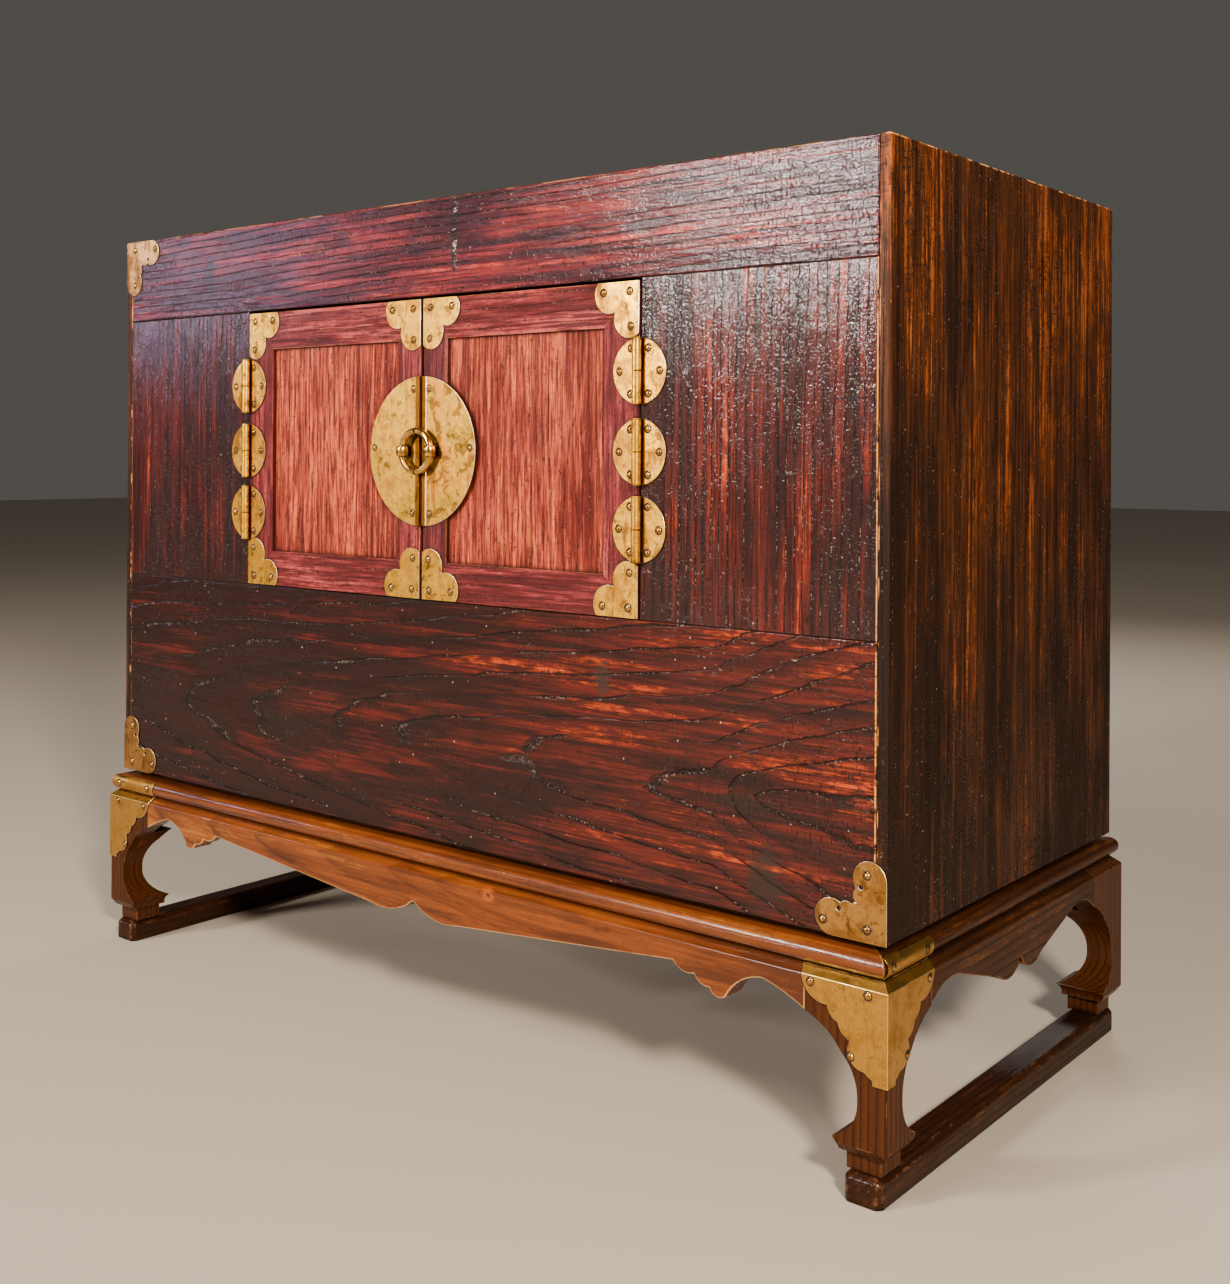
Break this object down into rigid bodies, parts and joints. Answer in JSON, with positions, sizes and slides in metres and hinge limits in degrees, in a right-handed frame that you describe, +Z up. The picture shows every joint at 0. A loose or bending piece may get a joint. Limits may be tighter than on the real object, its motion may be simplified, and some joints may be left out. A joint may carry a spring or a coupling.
{
  "type": "korean single case chest on stand",
  "caption": "Low Korean chest of lacquered boards with two small brass-mounted front doors and a ring pull, on a separate stand with cusped aprons and cabriole legs on runners.",
  "frame": {"origin": "on the floor under the middle of the overall size", "axes": "+X to the right of someone facing the doors, +Y from the doors towards the back, +Z up"},
  "size_m": [0.9186, 0.4298, 0.728],
  "materials": {
    "front_wood": "dark red-brown lacquer over open grain, worn",
    "side_wood": "dark brown lacquer, vertical grain",
    "door_wood": "red lacquer, worn",
    "stand_wood": "orange-brown lacquer, rubbed on the edges",
    "runner_wood": "dark, bruised, dull",
    "plain_wood": "bare, dusty",
    "brass": "hand-cut yellow brass with brown patina"
  },
  "bodies": {
    "case": {"apron_back": "stand_wood", "apron_front": "stand_wood", "apron_left": "stand_wood", "apron_right": "stand_wood", "back_planks": "plain_wood", "case_bearers": "plain_wood", "case_corner_plates": "brass", "case_nails": "brass", "door_stops": "plain_wood", "flank_left": "front_wood", "flank_right": "front_wood", "floor_board": "plain_wood", "front_bottom_board": "front_wood", "front_top_board": "front_wood", "hinge_leaves_case_left": "brass", "hinge_leaves_case_right": "brass", "hinge_pins": "brass", "leg_back_left": "stand_wood", "leg_back_right": "stand_wood", "leg_front_left": "stand_wood", "leg_front_right": "stand_wood", "leg_mount_left": "brass", "leg_mount_right": "brass", "moulding_back": "stand_wood", "moulding_front": "stand_wood", "moulding_left": "stand_wood", "moulding_right": "stand_wood", "moulding_strap_left": "brass", "moulding_strap_right": "brass", "runner_left": "runner_wood", "runner_right": "runner_wood", "side_board_left": "side_wood", "side_board_right": "side_wood", "stand_nails": "brass", "top_board": "front_wood"},
    "left_door": {"left_bottom_rail": "door_wood", "left_corner_plates": "brass", "left_hinge_leaves": "brass", "left_hinge_stile": "door_wood", "left_lock_plate": "brass", "left_meeting_stile": "door_wood", "left_nails": "brass", "left_panel": "door_wood", "left_staple": "brass", "left_top_rail": "door_wood"},
    "right_door": {"right_bottom_rail": "door_wood", "right_corner_plates": "brass", "right_hinge_leaves": "brass", "right_hinge_stile": "door_wood", "right_lock_plate": "brass", "right_meeting_stile": "door_wood", "right_nails": "brass", "right_panel": "door_wood", "right_staple": "brass", "right_top_rail": "door_wood"},
    "left_pull": {"left_ring_half": "brass"},
    "right_pull": {"right_ring_half": "brass"}
  },
  "joints": [
    {"name": "left_door_hinge", "type": "hinge", "parent": "case", "child": "left_door", "pos_m": [-0.2435, -0.205, 0.512], "axis": [0, 0, -1], "range_deg": [0, 160]},
    {"name": "right_door_hinge", "type": "hinge", "parent": "case", "child": "right_door", "pos_m": [0.2355, -0.205, 0.512], "axis": [0, 0, 1], "range_deg": [0, 160]},
    {"name": "left_pull_swing", "type": "hinge", "parent": "left_door", "child": "left_pull", "pos_m": [-0.02103, -0.2076, 0.5103], "axis": [0, 0, -1], "range_deg": [0, 100]},
    {"name": "right_pull_swing", "type": "hinge", "parent": "right_door", "child": "right_pull", "pos_m": [0.01303, -0.2076, 0.5103], "axis": [0, 0, 1], "range_deg": [0, 100]}
  ]
}
